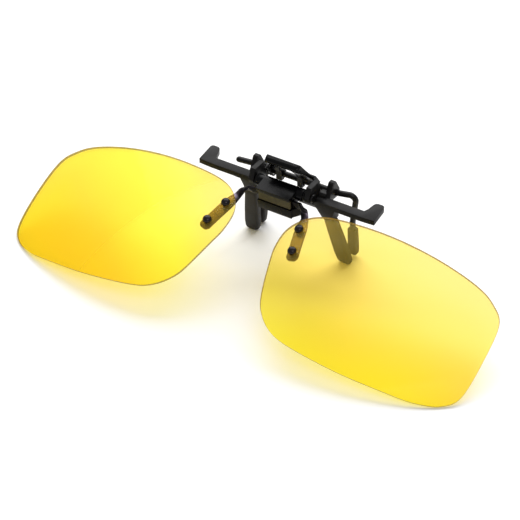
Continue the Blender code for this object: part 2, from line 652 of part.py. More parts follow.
def make_spring(finish):
    """A coil round the clamp's shaft. One leg bears on the clip and one under the lever."""
    first, last = SPRING_LEG_ANGLES
    sweep = 2 * math.pi * (SPRING_TURNS + 1) + first - last
    steps = 18 * SPRING_TURNS + 12
    start, end = SPRING_SPAN
    coil = []
    for k in range(steps + 1):
        angle = first - sweep * k / steps
        coil.append(Vector((start + (end - start) * k / steps,
                            CLAMP_AXIS[0] + SPRING_RADIUS * math.cos(angle),
                            CLAMP_AXIS[1] + SPRING_RADIUS * math.sin(angle))))
    legs = []
    for here, before, length in zip((coil[0], coil[-1]), (coil[1], coil[-2]), SPRING_LEGS):
        ahead = here - before
        ahead.x = 0
        legs.append(here + ahead.normalized() * length)
    wire = swept([legs[0]] + coil + [legs[1]], SPRING_WIRE_RADIUS, sides=8, rounded=False)
    add_object("clamp_spring", to_mesh(wire, "clamp_spring"), finish, CLAMP_AXIS)


def main():
    for old in list(bpy.data.objects):
        bpy.data.objects.remove(old, do_unlink=True)
    black = material("black_plastic", (0.012, 0.012, 0.013), 0.42)
    lens = material("yellow_lens", (1.0, 0.82, 0.05), 0.05, alpha=0.45)
    rubber = material("black_rubber", (0.02, 0.019, 0.018), 0.7)
    strap = material("gunmetal_strap", (0.1, 0.08, 0.07), 0.35, metallic=1.0)
    head = material("black_rivet", (0.015, 0.014, 0.018), 0.25, metallic=0.6)
    wire = material("black_wire", (0.02, 0.02, 0.02), 0.35, metallic=0.8)
    steel = material("steel", (0.06, 0.06, 0.062), 0.3, metallic=1.0)
    plate = material("olive_plate", (0.05, 0.045, 0.03), 0.5)
    make_clip_frame(black)
    make_front_boots(rubber)
    make_flip_pin(steel, steel)
    make_flip_block(black, plate)
    make_bridge(strap)
    for side, word in ((-1, "left"), (1, "right")):
        make_lens(side, f"lens_{word}", lens)
        make_rivets(side, word, head, wire)
    make_thumb_lever(black)
    make_rear_arms(wire)
    make_rear_boots(rubber)
    make_spring(steel)


main()
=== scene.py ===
"""Looks of the clip-on flip lenses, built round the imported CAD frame.

Shapes are drawn in millimetres as the part is designed: across is X, depth is Y and grows to
the rear, height is Z. STAND turns and lifts them to how the part stands on the table, in metres.
"""

import math

import bmesh
import bpy
import numpy as np
from mathutils import Matrix, Quaternion, Vector

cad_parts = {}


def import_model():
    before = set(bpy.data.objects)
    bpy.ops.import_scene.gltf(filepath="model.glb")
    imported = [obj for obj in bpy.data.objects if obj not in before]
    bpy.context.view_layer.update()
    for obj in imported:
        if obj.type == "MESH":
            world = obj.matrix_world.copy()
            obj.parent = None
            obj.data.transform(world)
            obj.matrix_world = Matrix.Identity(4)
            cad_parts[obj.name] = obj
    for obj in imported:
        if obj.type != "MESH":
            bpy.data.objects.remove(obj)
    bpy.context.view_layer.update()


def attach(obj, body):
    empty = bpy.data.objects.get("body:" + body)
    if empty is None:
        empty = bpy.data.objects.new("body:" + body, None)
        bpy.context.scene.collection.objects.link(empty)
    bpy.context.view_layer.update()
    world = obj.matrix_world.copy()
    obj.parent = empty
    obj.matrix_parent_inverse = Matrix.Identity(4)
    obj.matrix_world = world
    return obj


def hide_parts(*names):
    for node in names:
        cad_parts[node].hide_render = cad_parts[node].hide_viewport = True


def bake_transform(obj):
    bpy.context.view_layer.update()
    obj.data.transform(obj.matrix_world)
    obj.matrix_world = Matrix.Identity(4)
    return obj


MM = 0.001
STAND = (Matrix.Scale(MM, 4) @ Matrix.Translation((0, -8.0, 0.432))
         @ Matrix.Rotation(math.radians(-0.862), 4, "X"))
SIDES = ((-1, "left"), (1, "right"))

# Meshing: points this near are one, faces this flat are merged, edges this sharp stay creased
WELD_DISTANCE = 1e-5
MERGE_DISTANCE = 2e-3
FLAT_ANGLE = math.radians(1.5)
CREASE_ANGLE = math.radians(35)
BORE_HALF = 20.0
CURVE_STEPS = 40

# Camera: it looks at a point between the lenses, from the front, the right and above
CAMERA_TARGET = Vector((4.587, -6.168, 14.0)) * MM
CAMERA_AZIMUTH = math.radians(32.567)
CAMERA_ELEVATION = math.radians(37.406)
CAMERA_ROLL = math.radians(-0.568)
CAMERA_DISTANCE = 621.44 * MM
CAMERA_LENS = 171.41

# Stage, in metres and watts
FLOOR_SIZE = 4.0
FLOOR_THICKNESS = 0.01
FLOOR_DROP = 0.00005
WORLD_STRENGTH = 0.48
LIGHT_AIM = Vector((0, 0, 0.01))
REAR_LIGHT_PLACE = Vector((-0.25, 0.55, 0.75))
REAR_LIGHT_SIZE = (1.3, 0.9)
REAR_LIGHT_POWER = 13.0
FRONT_LIGHT_PLACE = Vector((0.5, -0.5, 0.9))
FRONT_LIGHT_SIZE = (0.5, 0.5)
FRONT_LIGHT_POWER = 3.0

# Lenses, in their own plane
LENS_TILT = math.radians(26.0)
LENS_WRAP = math.radians(10.1)
LENS_CENTRE_X = 37.24
LENS_PLANE_Z = 14.55
LENS_RADIUS = 110.0
LENS_THICKNESS = 0.9
LENS_EDGE_ROUND = 0.16
LENS_EDGE_STEPS = 4
LENS_OUTLINE_STEPS = 220
LENS_RINGS = 18
LENS_RING_SPAN = (0.08, 0.99)
RIM_FACING = 0.55
LENS_OUTLINE = [
    (29.9, 0.0), (29.0, 10.5), (25.5, 14.7), (20.3, 17.1), (10.8, 18.7), (0.0, 19.35),
    (-10.9, 19.0), (-21.1, 17.7), (-26.3, 15.2), (-29.4, 10.7), (-29.8, 5.2), (-28.7, 0.0),
    (-25.9, -9.4), (-23.4, -13.5), (-19.7, -16.5), (-15.2, -18.1), (-6.9, -19.1),
    (3.4, -19.35), (15.4, -18.4), (20.9, -17.4), (26.1, -15.1), (29.3, -10.6),
]
UPPER_RIVET = (26.3, 11.5)
LOWER_RIVET = (24.6, 5.05)
RIVETS = (("upper", UPPER_RIVET), ("lower", LOWER_RIVET))
STRAP_THICKNESS = 0.5
CLEARANCE = 0.08

# Colour passed by the lenses as (place on the ramp, colour), paler towards +X and the rear: the lens's
# own yellow with painted shade in it, deeper and more orange towards the front and left, for the
# lens's yellow shadow on the floor showing through. The two shares of the place are (least, most,
# from, to) in X and in Y
LENS_TINT_AND_SHADE = [
    (0.0, (1.0, 0.92, 0.05)), (0.36, (1.0, 0.87, 0.26)), (0.6, (1.0, 0.96, 0.30)),
    (0.8, (1.0, 0.90, 0.43)), (1.0, (1.0, 0.885, 0.50)),
]
LENS_TINT_AND_SHADE_ACROSS = (0.0, 0.55, -60 * MM, -8 * MM)
LENS_TINT_AND_SHADE_DEEP = (0.0, 0.4, -24 * MM, 9 * MM)

# Rivets as (radius, height): the tail from behind the strap, the head's rim from its seat on the
# lens, and the cap from the strap
RIVET_SHANK_RADIUS = 0.6
RIVET_HOLE_REACH = (-2.5, 2.0)
RIVET_TAIL = [(0, -0.35), (0.5, -0.35), (RIVET_SHANK_RADIUS, -0.25)]
RIVET_HEAD_RADIUS = 1.2
RIVET_HEAD_RIM = 0.15
RIVET_HEAD = [
    (RIVET_SHANK_RADIUS, 0), (1.14, 0), (RIVET_HEAD_RADIUS, 0.06), (RIVET_HEAD_RADIUS, RIVET_HEAD_RIM),
]
RIVET_DOME = 0.95
RIVET_DOME_TURNS = [math.radians(k) for k in range(8, 90, 8)]
RIVET_CAP = [
    (0, -0.55), (0.6, -0.54), (0.85, -0.48), (1.02, -0.38), (1.1, -0.22), (1.1, -0.06),
    (1.05, 0), (0.64, 0), (0.64, -0.32), (0, -0.32),
]

# Bridge stations: the strap as (up, half-width), the band as (across, depth, height, turn
# towards the crossing, half-width, half-thickness)
STRAP_STATIONS = [
    (3.0, 0.75), (3.35, 1.25), (4.0, 1.6), (5.05, 1.6), (7.2, 1.6), (9.4, 1.6), (11.5, 1.6),
    (13.0, 1.5), (14.4, 1.25), (15.6, 1.0),
]
BAND_STATIONS = [
    (9.25, 15.1, 21.7, 0.3, 0.95, 0.32), (8.6, 15.8, 22.15, 0.5, 0.95, 0.36),
    (7.7, 16.4, 22.3, 0.75, 0.95, 0.36), (6.8, 16.7, 22.1, 0.9, 0.95, 0.36),
    (5.8, 16.76, 21.95, 1.0, 0.95, 0.36), (0.0, 16.76, 21.95, 1.0, 0.95, 0.36),
]
CROSSING = Vector((0.0, -0.13, 0.99))
BRIDGE_CORNER = (0.14, 0.65)
# Distance from the middle where the painted shade of the band gives way to the painted sheen of the
# straps
STRAP_BAND_EDGE = (9.5 * MM, 10.7 * MM)

# Side views of the flip block and its retainer as (depth, height), the block's wings in plan as
# (across, depth), and the hinges. Pin and washer are (radius, distance along the hinge): the tip
# from the pin's left end, the shoulder from its neck, the end from its right end, the washer from
# the middle of the part
BLOCK_PROFILE = [
    (14.7, 24.4), (18.9, 25.3), (19.9, 22.25), (18.7, 20.8), (18.5, 18.1),
    (16.0, 17.7), (15.55, 20.3), (17.3, 20.5), (17.2, 23.3), (14.9, 23.4),
]
BLOCK_HALF = 5.0
BLOCK_ROUND = 0.16
BLOCK_BARREL_HALF = 6.9
BLOCK_BARREL_RADIUS = 1.65
WING_PLAN = [(4.5, 16.3), (4.95, 16.3), (6.2, 18.3), (6.2, 19.0), (4.5, 19.0)]
WING_LEVELS = (17.85, 20.2)
RETAINER_PROFILE = [(15.75, 20.62), (16.22, 20.66), (16.1, 23.08), (15.55, 23.04)]
RETAINER_HALF = 4.7
RETAINER_ROUND = 0.12
FLIP_AXIS = (19.2, 23.7)
FLIP_PIN_RADIUS = 0.7
FLIP_PIN_HALF = 9.58
FLIP_PIN_NECK = 9.08
FLIP_PIN_TIP = [(0, 0), (0.5, 0), (0.65, 0.06), (FLIP_PIN_RADIUS, 0.2)]
FLIP_PIN_SHOULDER = [(FLIP_PIN_RADIUS, 0), (1.1, 0), (1.15, 0.06)]
FLIP_PIN_END = [(1.15, -0.16), (1.08, -0.04), (0.95, 0), (0, 0)]
WASHER_PROFILE = [(0.78, 6.96), (1.45, 7.04), (1.45, 7.16), (1.05, 7.54), (0.78, 7.54)]
CLAMP_AXIS = (26.6, 22.2)
WIRE_RADIUS = 0.8
RIGHT_ARM = [
    (-17.4, 26.35, 21.9), (-12.4, *CLAMP_AXIS), (12.4, *CLAMP_AXIS), (17.5, 27.0, 22.9),
    (15.9, 28.2, 13.6), (14.7, 31.2, 2.6),
]
LEFT_ARM = [(-9.6, 26.9, 21.3), (-13.6, 31.4, 2.1)]
ARM_BEND_RADIUS = 1.5
HUB_START = -10.45
HUB_PROFILE = [(1.36, 0), (1.5, 0.14), (1.5, 0.76), (1.36, 0.9)]

# Front jaw: side views as (depth, height), the rest bar's plan as (across, depth), and the root
# of a leg at each height as nearest and furthest across, then front and rear
EAR_INNER = 7.6
EAR_OUTER = 9.0
EAR_PROFILE = [
    (18.75, 26.8), (22.9, 26.8), (23.8, 22.4), (23.8, 20.0), (22.3, 19.9), (21.5, 21.3),
    (19.6, 21.75), (18.0, 22.7), (17.7, 23.7), (17.9, 24.6),
]
LUG_INNER = 10.6
LUG_OUTER = 12.0
LUG_PROFILE = [
    (22.6, 22.2), (23.2, 22.9), (24.5, 25.9), (24.9, 26.15), (25.9, 26.15), (26.2, 25.8),
    (27.9, 22.9), (28.0, 21.6), (27.3, 20.95), (22.6, 21.2),
]
BRACE_INNER = 8.95
BRACE_OUTER = 11.0
BRACE_PROFILE = [
    (22.5, 21.35), (22.5, 23.1), (22.9, 23.5), (24.6, 23.4), (24.9, 23.0), (24.9, 21.4),
]
BAR_FRONT = 20.75
BAR_REAR = 23.0
BAR_TOP = 22.1
BAR_THICKNESS = 1.4
BAR_TILT = math.radians(10.0)
BAR_PLAN = [
    (8.0, 21.4), (9.6, 21.4), (10.0, BAR_FRONT), (22.5, BAR_FRONT), (26.2, 20.95),
    (26.1, 26.0), (25.9, 26.5), (25.4, 26.75), (24.1, 26.75), (23.5, 26.5), (23.15, 25.9),
    (22.7, 24.1), (22.1, BAR_REAR), (8.0, BAR_REAR),
]
BAR_SHOULDER_PLAN = [
    (8.3, 21.5), (9.7, 21.5), (10.1, 20.85), (15.2, 20.85), (15.2, 22.9), (8.3, 22.9),
]
BAR_SHOULDER_DROP = 1.55
WEB_HALF = 10.0
WEB_PROFILE = [
    (24.25, 17.7), (24.9, 19.3), (25.55, 19.8), (26.1, 19.2), (25.7, 16.8), (24.8, 16.6),
]
LEG_ROOT = [
    (21.5, 7.65, 14.7, 21.3, 22.8), (20.6, 7.8, 14.5, 21.4, 23.3),
    (18.0, 9.2, 13.5, 21.9, 25.3), (16.2, 9.9, 13.4, 22.5, 25.6),
]
LEG_CORNER = 0.35
LEG_CORNER_STEPS = 3
CORE_HALF = (1.15, 0.55)
CORE_CORNER = 0.2
CORE_LEVELS = (16.1, 3.4)
FRAME_PIN_GAP = 0.06
FRAME_ROUND = 0.18

# Rubber boots, as (height, half across, half deep, corner): the rear ones rise from the wire's end
BOOT_TOP = 16.2
BOOT_HEAD = (11.85, 23.8)
BOOT_LEAN = (2.4, 4.4)
SOCKET_GAP = 0.1
FRONT_BOOT_OUTSIDE = [
    (0.0, 0.9, 0.5, 0.4), (0.12, 1.2, 0.66, 0.5), (0.35, 1.55, 0.85, 0.6), (0.75, 1.82, 1.0, 0.7),
    (1.3, 2.0, 1.1, 0.75), (3.5, 2.15, 1.2, 0.8), (9.0, 2.05, 1.2, 0.8), (14.5, 1.8, 1.2, 0.75),
    (15.7, 1.76, 1.18, 0.75), (15.95, 1.65, 1.05, 0.65), (16.02, 1.4, 0.8, 0.5),
]
FRONT_BOOT_SOCKET = (15.6, 3.2)
REAR_BOOT_OUTSIDE = [
    (-1.9, 0.6, 0.5), (-1.8, 0.78, 0.66), (-1.6, 1.0, 0.85), (-1.3, 1.15, 1.0),
    (-0.9, 1.25, 1.1), (1.0, 1.35, 1.15), (4.5, 1.3, 1.15), (8.0, 1.25, 1.12),
    (8.25, 1.2, 1.08), (8.35, 1.02, 0.98),
]
REAR_BOOT_SOCKET = (8.0, -0.9)
REAR_BOOT_CORNER = 0.62

# Thumb lever: the plate as (depth, height, half-width, half-thickness), and what hangs below it
LEVER_STATIONS = [
    (19.1, 31.35, 4.3, 0.3), (19.2, 31.2, 4.8, 0.75), (19.5, 30.85, 5.05, 1.05),
    (20.3, 30.05, 5.2, 0.95), (21.4, 29.0, 5.6, 0.65), (22.8, 27.4, 6.2, 0.55),
    (24.4, 25.7, 6.9, 0.55),
]
LEVER_EDGE_ROUND = 0.32
LEVER_ARM_PROFILE = [
    (23.6, 26.2), (24.6, 26.6), (25.6, 25.3), (27.5, 22.7), (27.0, 21.4), (26.0, 21.6),
    (25.1, 24.1),
]
LEVER_ARM = (2.3, 6.85)
LEVER_POST_PROFILE = [
    (23.6, 26.2), (24.6, 26.6), (25.6, 25.3), (27.5, 22.7), (27.3, 21.3), (26.5, 20.6),
    (25.5, 20.7), (25.35, 23.1), (24.9, 24.3),
]
LEVER_POSTS = ((-5.55, -3.8), (0.8, 2.4))
LEVER_SKIRT_PROFILE = [(23.6, 26.4), (24.9, 26.3), (25.3, 24.7), (24.6, 24.0)]
LEVER_SKIRT = (-6.7, -3.9)
LEVER_WINDOW_PROFILE = [(21.0, 28.25), (25.9, 24.3), (25.9, 22.9), (21.0, 22.9)]
LEVER_WINDOW = (-2.9, 1.0)
LEVER_BARRELS = ((-5.55, -3.8), (0.8, 10.4))
LEVER_BARREL_RADIUS = 1.15

# Return spring, its leg angles round the clamp's axis from the rear
SPRING_RADIUS = 1.3
SPRING_WIRE_RADIUS = 0.27
SPRING_TURNS = 2
SPRING_TURN_STEPS = 40
SPRING_SPAN = (-8.45, -6.6)
SPRING_LEG_ANGLES = (math.radians(105), math.radians(209))
SPRING_LEGS = (2.15, 4.7)


# ---------------------------------------------------------------- meshes

def loft(rings, caps=True):
    """A body through rings of points. A ring of one point is a pole."""
    shape = bmesh.new()
    rows = [[shape.verts.new(point) for point in ring] for ring in rings]
    for lower, upper in zip(rows, rows[1:]):
        for k in range(max(len(lower), len(upper))):
            corners = [lower[k % len(lower)], lower[(k + 1) % len(lower)],
                       upper[(k + 1) % len(upper)], upper[k % len(upper)]]
            shape.faces.new(list(dict.fromkeys(corners)))
    if caps:
        for row in (rows[0], rows[-1]):
            if len(row) > 1:
                shape.faces.new(row)
    return shape


def prism_x(profile, start, end):
    """A (depth, height) outline extruded across."""
    return loft([[(x, y, z) for y, z in profile] for x in (start, end)])


def circle_row(radius, height, steps):
    """A level circle of points, or one point where the radius is 0."""
    if radius == 0:
        return [(0, 0, height)]
    angles = [2 * math.pi * k / steps for k in range(steps)]
    return [(radius * math.cos(a), radius * math.sin(a), height) for a in angles]


def turned(profile, steps=48):
    """(radius, height) points turned about Z. A radius of 0 makes a pole."""
    return loft([circle_row(radius, height, steps) for radius, height in profile])


def turned_ring(profile, steps=48):
    """A closed (radius, height) outline turned about Z, with the bore left open."""
    return welded(loft([circle_row(r, h, steps) for r, h in profile + profile[:1]], caps=False))


def welded(shape):
    """Joins the points of a shape that lie on one another."""
    bmesh.ops.remove_doubles(shape, verts=shape.verts, dist=WELD_DISTANCE)
    return shape


def place(shape, matrix):
    """Moves a whole shape by this matrix."""
    bmesh.ops.transform(shape, matrix=matrix, verts=shape.verts)
    return shape


def along_x(start, pivot):
    """Turns a shape made about Z so that it runs along +X from this place on an axis."""
    return Matrix.Translation((start, *pivot)) @ Matrix.Rotation(math.pi / 2, 4, "Y")


def bore(radius, pivot):
    """The cutter of a bore on an axis, longer than any piece."""
    return place(turned([(radius, 0), (radius, 2 * BORE_HALF)]), along_x(-BORE_HALF, pivot))


def swept(path, radius, sides=24, rounded=True):
    """A round wire along a list of points, its cross-section carried without twist."""
    points = [Vector(p) for p in path]
    last = len(points) - 1
    tangents = [(points[min(i + 1, last)] - points[max(i - 1, 0)]).normalized()
                for i in range(last + 1)]
    side = tangents[0].orthogonal().normalized()
    rows = []
    for point, tangent in zip(points, tangents):
        side = (side - tangent * side.dot(tangent)).normalized()
        rows.append((point, tangent, side, radius))
    if rounded:
        dome = [(radius * math.sin(a), radius * math.cos(a))
                for a in (math.radians(k) for k in (18, 36, 54, 72, 84))]
        (first, ahead, first_side, _), (end, onward, last_side, _) = rows[0], rows[-1]
        rows = [(first - ahead * out, ahead, first_side, r) for out, r in reversed(dome)] + rows
        rows += [(end + onward * out, onward, last_side, r) for out, r in dome]
    rings = []
    for point, tangent, side, r in rows:
        other = tangent.cross(side)
        turn = [2 * math.pi * k / sides for k in range(sides)]
        rings.append([point + (side * math.cos(a) + other * math.sin(a)) * r for a in turn])
    return loft(rings)


def bent(corners, bend_radius, steps=16):
    """The route through these corners with each inner corner rounded to the bend radius."""
    corners = [Vector(c) for c in corners]
    route = [corners[0]]
    for before, corner, after in zip(corners, corners[1:], corners[2:]):
        back = (before - corner).normalized()
        ahead = (after - corner).normalized()
        half = back.angle(ahead) / 2
        reach = bend_radius / math.tan(half)
        middle = corner + (back + ahead).normalized() * (bend_radius / math.sin(half))
        start = corner + back * reach - middle
        end = corner + ahead * reach - middle
        axis = start.cross(end)
        for k in range(steps + 1):
            turn = Quaternion(axis, start.angle(end) * k / steps)
            route.append(middle + turn @ start)
    return route + [corners[-1]]


def curve_point(a, b, c, d, t):
    """The place at t from b to c on the smooth (Catmull-Rom) curve through a, b, c and d."""
    return 0.5 * (2 * b + (c - a) * t + (2 * a - 5 * b + 4 * c - d) * t ** 2
                  + (3 * b - a - 3 * c + d) * t ** 3)


def smooth_through(rows, steps):
    """Rows of numbers carried smoothly through the given rows."""
    rows = [np.array(r, float) for r in rows]
    rows = [2 * rows[0] - rows[1]] + rows + [2 * rows[-1] - rows[-2]]
    out = []
    for a, b, c, d in zip(rows, rows[1:], rows[2:], rows[3:]):
        out += [curve_point(a, b, c, d, t) for t in np.linspace(0, 1, steps, endpoint=False)]
    return out + [rows[-2]]


def corner_turns(steps):
    """Round the four corners of a rectangle: each corner's signs, with the cosine and sine."""
    for quarter, (sx, sy) in enumerate(((1, 1), (-1, 1), (-1, -1), (1, -1))):
        for k in range(steps + 1):
            a = math.pi / 2 * (quarter + k / steps)
            yield sx, sy, math.cos(a), math.sin(a)


def rounded_box(centre, half_across, half_deep, corner, steps=5):
    """A level rectangle with round corners."""
    x, y, z = centre
    return [(x + sx * (half_across - corner) + corner * cosine,
             y + sy * (half_deep - corner) + corner * sine, z)
            for sx, sy, cosine, sine in corner_turns(steps)]


# ---------------------------------------------------------------- pieces

def to_object(name, shape):
    """The bmesh as an object in the scene. The bmesh is used up."""
    bmesh.ops.recalc_face_normals(shape, faces=shape.faces)
    mesh = bpy.data.meshes.new(name)
    shape.to_mesh(mesh)
    shape.free()
    made = bpy.data.objects.new(name, mesh)
    bpy.context.scene.collection.objects.link(made)
    return made


def new_piece(name, shape, body, finish, slot, *nodes):
    """The bmesh as a piece that stands for these CAD nodes and rides on a body, if one is named."""
    piece = to_object(name, shape)
    mesh = piece.data
    mesh.transform(STAND)
    mesh.materials.append(finish)
    mesh.shade_smooth()
    mesh.set_sharp_from_angle(angle=CREASE_ANGLE)
    if body:
        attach(piece, body)
    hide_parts(*nodes)
    return piece


def combined(first, *steps, tidy=True):
    """One bmesh from a shape and (operation, shape) steps, worked out in order. Tidying merges
    the flat faces, and without it the shape keeps its own rings."""
    target = to_object("tool", first)
    tools = []
    for operation, shape in steps:
        tool = to_object("tool", shape)
        modifier = target.modifiers.new("combine", "BOOLEAN")
        modifier.operation = operation
        modifier.solver = "EXACT"
        modifier.object = tool
        tools.append(tool)
    graph = bpy.context.evaluated_depsgraph_get()
    result = bmesh.new()
    result.from_mesh(target.evaluated_get(graph).to_mesh())
    for tool in tools + [target]:
        bpy.data.objects.remove(tool, do_unlink=True)
    if tidy:
        bmesh.ops.remove_doubles(result, verts=result.verts, dist=MERGE_DISTANCE)
        bmesh.ops.dissolve_limit(result, angle_limit=FLAT_ANGLE, verts=result.verts,
                                 edges=result.edges)
    return result


def softened(shape, width, segments=3, least_angle=28.0):
    """Rounds every edge that turns by more than the least angle."""
    edges = [e for e in shape.edges if e.calc_face_angle(0.0) > math.radians(least_angle)]
    bmesh.ops.bevel(shape, geom=edges, offset=width, segments=segments, profile=0.5,
                    affect="EDGES", clamp_overlap=True)
    return shape


# ---------------------------------------------------------------- materials

def start_material(name):
    """A new material, with its nodes, links and shader."""
    made = bpy.data.materials.new(name)
    made.use_nodes = True
    nodes = made.node_tree.nodes
    return made, nodes, made.node_tree.links, nodes["Principled BSDF"]


def noise(nodes, links, where, scale, detail=3.0, roughness=0.5):
    texture = nodes.new("ShaderNodeTexNoise")
    texture.inputs["Scale"].default_value = scale
    texture.inputs["Detail"].default_value = detail
    texture.inputs["Roughness"].default_value = roughness
    links.new(where, texture.inputs["Vector"])
    return texture.outputs["Fac"]


def ramp(nodes, links, factor, stops):
    made = nodes.new("ShaderNodeValToRGB")
    elements = made.color_ramp.elements
    while len(elements) < len(stops):
        elements.new(0.5)
    for element, (at, colour) in zip(elements, stops):
        element.position = at
        element.color = (*colour, 1.0)
    links.new(factor, made.inputs["Fac"])
    return made.outputs["Color"]


def spread(nodes, links, value, low, high, start=0.3, end=0.7):
    """The value carried from start..end over to low..high."""
    made = nodes.new("ShaderNodeMapRange")
    made.inputs["From Min"].default_value = start
    made.inputs["From Max"].default_value = end
    made.inputs["To Min"].default_value = low
    made.inputs["To Max"].default_value = high
    links.new(value, made.inputs["Value"])
    return made.outputs["Result"]


def worked_out(nodes, links, operation, *values):
    """The result of an operation on these values."""
    made = nodes.new("ShaderNodeMath")
    made.operation = operation
    for value, socket in zip(values, made.inputs):
        links.new(value, socket)
    return made.outputs["Value"]


def coordinate(nodes, links, where, axis):
    """One coordinate of a place."""
    apart = nodes.new("ShaderNodeSeparateXYZ")
    links.new(where, apart.inputs["Vector"])
    return apart.outputs[axis]


def object_place(nodes, links, stretch=(1, 1, 1)):
    """Object coordinates, in metres, with a stretch for grain that runs one way."""
    where = nodes.new("ShaderNodeTexCoord").outputs["Object"]
    if stretch == (1, 1, 1):
        return where
    mapping = nodes.new("ShaderNodeMapping")
    mapping.inputs["Scale"].default_value = stretch
    links.new(where, mapping.inputs["Vector"])
    return mapping.outputs["Vector"]


def bump(nodes, links, shader, height, strength, distance):
    made = nodes.new("ShaderNodeBump")
    made.inputs["Strength"].default_value = strength
    made.inputs["Distance"].default_value = distance
    links.new(height, made.inputs["Height"])
    links.new(made.outputs["Normal"], shader.inputs["Normal"])


def surface(name, dark, light, rough, grain, depth, stretch=(1, 1, 1), metallic=0.0, coat=0.0,
            specular=0.5):
    """A solid material: its colour drifts between two tones, its roughness varies, and a fine
    grain of the given size, in millimetres, gives it a surface."""
    made, nodes, links, shader = start_material(name)
    where = object_place(nodes, links, stretch)
    broad = noise(nodes, links, where, 350.0, 4.0, 0.6)
    fine = noise(nodes, links, where, 1.0 / (grain * MM), 2.0, 0.6)
    links.new(ramp(nodes, links, broad, [(0.3, dark), (0.7, light)]), shader.inputs["Base Color"])
    links.new(spread(nodes, links, broad, rough[0], rough[1]), shader.inputs["Roughness"])
    bump(nodes, links, shader, fine, depth, 0.05 * MM)
    shader.inputs["Metallic"].default_value = metallic
    shader.inputs["Coat Weight"].default_value = coat
    shader.inputs["Coat Roughness"].default_value = 0.15
    shader.inputs["Specular IOR Level"].default_value = specular
    return made


def lens_material():
    """Clear yellow plastic: what passes is tinted, with painted shade in a tint that shifts with
    place, and the polished surface mirrors a little.
    """
    made, nodes, links, shader = start_material("yellow_lens")
    where = object_place(nodes, links)
    x, y = (coordinate(nodes, links, where, axis) for axis in ("X", "Y"))
    across = spread(nodes, links, x, *LENS_TINT_AND_SHADE_ACROSS)
    deep = spread(nodes, links, y, *LENS_TINT_AND_SHADE_DEEP)
    cloud = spread(nodes, links, noise(nodes, links, where, 40.0, 2.0, 0.5), 0.0, 0.06)
    factor = worked_out(nodes, links, "ADD", worked_out(nodes, links, "ADD", across, deep), cloud)
    # Painted shade: the passed colour turns deeper and more orange towards the front and left, for the
    # lens's shadow on the floor seen through it.
    tint_and_shade = ramp(nodes, links, factor, LENS_TINT_AND_SHADE)
    clear = nodes.new("ShaderNodeBsdfTransparent")
    links.new(tint_and_shade, clear.inputs["Color"])
    shader.inputs["Base Color"].default_value = (1.0, 0.84, 0.22, 1.0)
    shader.inputs["Roughness"].default_value = 0.06
    shader.inputs["IOR"].default_value = 1.58
    waves = noise(nodes, links, where, 60.0, 1.0, 0.4)
    bump(nodes, links, shader, waves, 0.02, 0.2 * MM)
    facing = nodes.new("ShaderNodeFresnel")
    facing.inputs["IOR"].default_value = 1.5
    share = spread(nodes, links, facing.outputs["Fac"], 0.05, 0.38, 0.04, 0.8)
    mix = nodes.new("ShaderNodeMixShader")
    links.new(share, mix.inputs["Fac"])
    links.new(clear.outputs["BSDF"], mix.inputs[1])
    links.new(shader.outputs["BSDF"], mix.inputs[2])
    links.new(mix.outputs["Shader"], nodes["Material Output"].inputs["Surface"])
    return made


def lens_edge_material():
    """The cut rim of a lens, where light gathers and the tint turns to olive brown."""
    made, nodes, links, shader = start_material("lens_edge")
    where = object_place(nodes, links)
    cut = noise(nodes, links, where, 900.0, 3.0, 0.6)
    links.new(ramp(nodes, links, cut, [(0.3, (0.16, 0.10, 0.01)), (0.7, (0.34, 0.20, 0.02))]),
              shader.inputs["Base Color"])
    links.new(spread(nodes, links, cut, 0.25, 0.45), shader.inputs["Roughness"])
    bump(nodes, links, shader, cut, 0.15, 0.03 * MM)
    shader.inputs["Alpha"].default_value = 0.8
    return made


def strap_material():
    """One metal strip with painted light in its colour: lighter where a strap lies on its lens, a
    painted sheen for the light it mirrors there, and near black on the band between, painted shade for
    the darker things it mirrors.
    """
    made, nodes, links, shader = start_material("gunmetal_strap")
    where = object_place(nodes, links)
    grain = noise(nodes, links, object_place(nodes, links, (1, 0.25, 0.25)), 5000.0, 2.0, 0.6)
    broad = noise(nodes, links, where, 350.0, 4.0, 0.6)
    metal_with_painted_sheen = ramp(nodes, links, broad, [(0.3, (0.10, 0.08, 0.11)), (0.7, (0.14, 0.113, 0.15))])
    # Painted reflection and shade: near black on the band between the lenses, lighter where a strap
    # lies on its lens.
    reach = worked_out(nodes, links, "ABSOLUTE", coordinate(nodes, links, where, "X"))
    painted_sheen_share = spread(nodes, links, reach, 0.0, 1.0, *STRAP_BAND_EDGE)
    mix = nodes.new("ShaderNodeMix")
    mix.data_type = "RGBA"
    links.new(painted_sheen_share, mix.inputs["Factor"])
    mix.inputs["A"].default_value = (0.010, 0.009, 0.010, 1.0)
    links.new(metal_with_painted_sheen, mix.inputs["B"])
    links.new(mix.outputs["Result"], shader.inputs["Base Color"])
    links.new(spread(nodes, links, broad, 0.2, 0.34), shader.inputs["Roughness"])
    bump(nodes, links, shader, grain, 0.12, 0.05 * MM)
    shader.inputs["Metallic"].default_value = 0.9
    shader.inputs["Specular IOR Level"].default_value = 0.3
    return made


